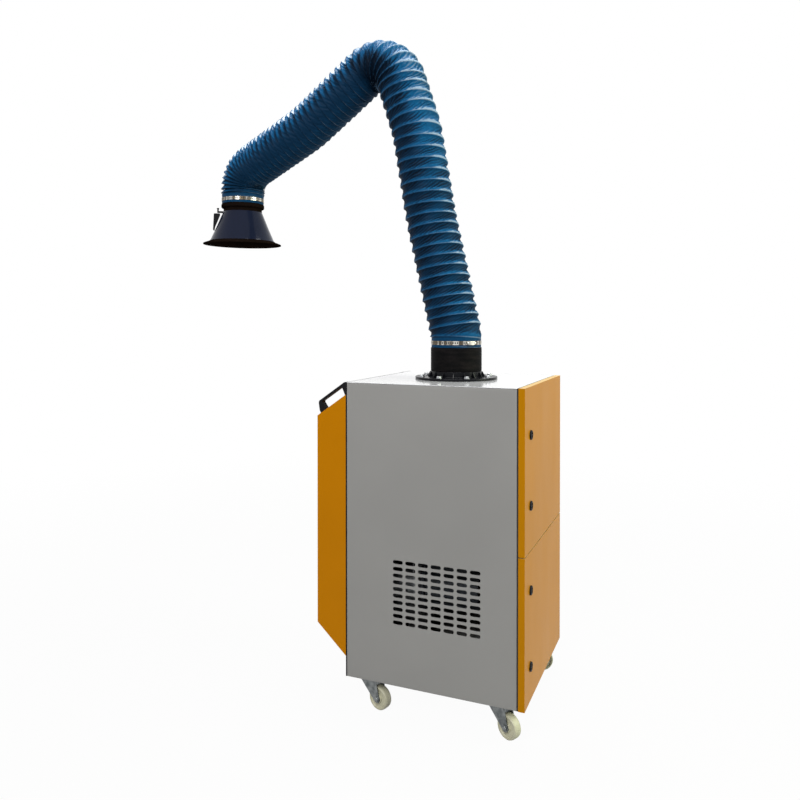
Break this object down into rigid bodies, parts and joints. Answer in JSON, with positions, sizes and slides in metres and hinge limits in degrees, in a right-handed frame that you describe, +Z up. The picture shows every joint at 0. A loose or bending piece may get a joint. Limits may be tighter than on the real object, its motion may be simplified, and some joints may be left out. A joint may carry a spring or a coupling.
{
  "type": "mobile welding fume extractor",
  "caption": "Wheeled cabinet filter unit with a jointed, hose-covered extraction arm ending in a cone hood, louvred exhaust and lockable doors",
  "frame": {"origin": "centre of the bottom of the whole bounding box, on the floor", "axes": "+X runs from the control end to the doors, the exhaust grille faces -Y, +Z is up"},
  "size_m": [1.4404, 0.6028, 2.2451],
  "materials": {
    "grey_paint": "satin",
    "light_paint": "gloss",
    "yellow_paint": "satin",
    "black_panel": "satin",
    "black_plastic": "satin",
    "seal_rubber": "matte",
    "galvanised": "satin",
    "filter_paper": "matte",
    "motor_paint": "satin",
    "zinc": "satin",
    "arm_tube": "satin",
    "hose_cloth": "satin",
    "hood_plastic": "gloss",
    "wheel_nylon": "satin",
    "green_cap": "gloss",
    "red_cap": "gloss"
  },
  "bodies": {
    "cabinet": {"base_frame": "grey_paint", "near_side_panel": "grey_paint", "far_side_panel": "grey_paint", "top_panel": "light_paint", "end_plate": "black_panel", "control_cover": "yellow_paint", "door_frame": "grey_paint", "door_seal": "seal_rubber", "tube_sheet": "galvanised", "chamber_floor": "galvanised", "filter_cartridge": "filter_paper", "clamp_screw": "black_plastic", "baffle_plate": "galvanised", "dust_drawer": "galvanised", "blower_housing": "galvanised", "inlet_cone": "galvanised", "fan_motor": "motor_paint", "air_tank": "motor_paint", "pulse_valve": "zinc", "control_plate": "galvanised", "near_handle": "black_plastic", "far_handle": "black_plastic", "cable_gland": "black_plastic", "air_nipple": "zinc", "arm_flange": "black_plastic", "castor_plate_1": "zinc", "castor_plate_2": "zinc", "castor_plate_3": "zinc", "castor_plate_4": "zinc"},
    "upper_door_leaf": {"upper_door": "yellow_paint"},
    "lower_door_leaf": {"lower_door": "yellow_paint"},
    "lock_1": {"door_lock_1": "black_plastic"},
    "lock_2": {"door_lock_2": "black_plastic"},
    "lock_3": {"door_lock_3": "black_plastic"},
    "lock_4": {"door_lock_4": "black_plastic"},
    "fan_wheel": {"impeller": "zinc"},
    "start": {"start_button": "green_cap"},
    "stop": {"stop_button": "red_cap"},
    "switch": {"main_switch": "black_plastic"},
    "castor_swivel_1": {"castor_fork_1": "zinc"},
    "castor_swivel_2": {"castor_fork_2": "zinc"},
    "castor_swivel_3": {"castor_fork_3": "zinc"},
    "castor_swivel_4": {"castor_fork_4": "zinc"},
    "castor_roller_1": {"castor_wheel_1": "wheel_nylon"},
    "castor_roller_2": {"castor_wheel_2": "wheel_nylon"},
    "castor_roller_3": {"castor_wheel_3": "wheel_nylon"},
    "castor_roller_4": {"castor_wheel_4": "wheel_nylon"},
    "arm_base": {"swivel_sleeve": "black_plastic", "base_clamp": "zinc", "hose_base": "hose_cloth"},
    "inner_arm": {"lower_arm": "arm_tube", "hose_lower": "hose_cloth", "hose_elbow": "hose_cloth"},
    "outer_arm": {"upper_arm": "arm_tube", "hose_upper": "hose_cloth", "hose_neck": "hose_cloth"},
    "hood_head": {"hood": "hood_plastic", "hood_handle": "black_plastic", "hood_clamp": "zinc"},
    "damper": {"hood_damper": "black_plastic"}
  },
  "joints": [
    {"name": "arm_swivel", "type": "hinge", "parent": "cabinet", "child": "arm_base", "pos_m": [0.41576, -0.02736, 1.045], "axis": [0, 0, 1], "continuous": true},
    {"name": "shoulder_tilt", "type": "hinge", "parent": "arm_base", "child": "inner_arm", "pos_m": [0.41576, -0.02736, 1.195], "axis": [-0.1736, -0.9848, 0], "range_deg": [-30, 35], "deforming": ["hose_base"]},
    {"name": "elbow_fold", "type": "hinge", "parent": "inner_arm", "child": "outer_arm", "pos_m": [0.16951, 0.01606, 2.15497], "axis": [-0.1736, -0.9848, 0], "range_deg": [-60, 25], "deforming": ["hose_elbow"]},
    {"name": "hood_tilt", "type": "hinge", "parent": "outer_arm", "child": "hood_head", "pos_m": [-0.55928, 0.14457, 1.83993], "axis": [-0.1736, -0.9848, 0], "range_deg": [-60, 30], "deforming": ["hose_neck"]},
    {"name": "damper_turn", "type": "hinge", "parent": "hood_head", "child": "damper", "pos_m": [-0.56201, 0.14505, 1.68095], "axis": [-0.819, -0.5736, 0.0123], "range_deg": [0, 90]},
    {"name": "upper_door_hinge", "type": "hinge", "parent": "cabinet", "child": "upper_door_leaf", "pos_m": [0.70521, 0.25294, 0.105], "axis": [0, 0, 1], "range_deg": [0, 110]},
    {"name": "lower_door_hinge", "type": "hinge", "parent": "cabinet", "child": "lower_door_leaf", "pos_m": [0.70521, 0.25294, 0.105], "axis": [0, 0, 1], "range_deg": [0, 110]},
    {"name": "lock_turn_1", "type": "hinge", "parent": "upper_door_leaf", "child": "lock_1", "pos_m": [0.71486, -0.22736, 0.901], "axis": [1, 0, 0], "range_deg": [0, 90]},
    {"name": "lock_turn_2", "type": "hinge", "parent": "upper_door_leaf", "child": "lock_2", "pos_m": [0.71486, -0.22736, 0.69], "axis": [1, 0, 0], "range_deg": [0, 90]},
    {"name": "lock_turn_3", "type": "hinge", "parent": "lower_door_leaf", "child": "lock_3", "pos_m": [0.71486, -0.22736, 0.437], "axis": [1, 0, 0], "range_deg": [0, 90]},
    {"name": "lock_turn_4", "type": "hinge", "parent": "lower_door_leaf", "child": "lock_4", "pos_m": [0.71486, -0.22736, 0.209], "axis": [1, 0, 0], "range_deg": [0, 90]},
    {"name": "fan_spin", "type": "hinge", "parent": "cabinet", "child": "fan_wheel", "pos_m": [0.32876, -0.03936, 0.355], "axis": [1, 0, 0], "continuous": true},
    {"name": "start_press", "type": "slide", "parent": "cabinet", "child": "start", "axis": [0.5702, 0, -0.8215], "range_m": [0, 0.004], "stiffness_N_per_m": 900, "springref_m": -0.001},
    {"name": "stop_press", "type": "slide", "parent": "cabinet", "child": "stop", "axis": [0.5702, 0, -0.8215], "range_m": [0, 0.004], "stiffness_N_per_m": 900, "springref_m": -0.001},
    {"name": "switch_turn", "type": "hinge", "parent": "cabinet", "child": "switch", "pos_m": [0.08511, -0.11736, 0.9695], "axis": [-0.5702, 0, 0.8215], "range_deg": [-90, 0]},
    {"name": "castor_swivel_turn_1", "type": "hinge", "parent": "cabinet", "child": "castor_swivel_1", "pos_m": [0.20376, -0.24736, 0.1014], "axis": [0, 0, 1], "continuous": true},
    {"name": "castor_roll_1", "type": "hinge", "parent": "castor_swivel_1", "child": "castor_roller_1", "pos_m": [0.23819, -0.25788, 0.03678], "axis": [0.2924, 0.9563, 0], "continuous": true},
    {"name": "castor_swivel_turn_2", "type": "hinge", "parent": "cabinet", "child": "castor_swivel_2", "pos_m": [0.62776, -0.24736, 0.1014], "axis": [0, 0, 1], "continuous": true},
    {"name": "castor_roll_2", "type": "hinge", "parent": "castor_swivel_2", "child": "castor_roller_2", "pos_m": [0.65984, -0.2637, 0.03678], "axis": [0.454, 0.891, 0], "continuous": true},
    {"name": "castor_swivel_turn_3", "type": "hinge", "parent": "cabinet", "child": "castor_swivel_3", "pos_m": [0.62776, 0.19264, 0.1014], "axis": [0, 0, 1], "continuous": true},
    {"name": "castor_roll_3", "type": "hinge", "parent": "castor_swivel_3", "child": "castor_roller_3", "pos_m": [0.66039, 0.20786, 0.03678], "axis": [-0.4226, 0.9063, 0], "continuous": true},
    {"name": "castor_swivel_turn_4", "type": "hinge", "parent": "cabinet", "child": "castor_swivel_4", "pos_m": [0.20376, 0.19264, 0.1014], "axis": [0, 0, 1], "continuous": true},
    {"name": "castor_roll_4", "type": "hinge", "parent": "castor_swivel_4", "child": "castor_roller_4", "pos_m": [0.16994, 0.20496, 0.03678], "axis": [-0.342, -0.9397, 0], "continuous": true}
  ]
}
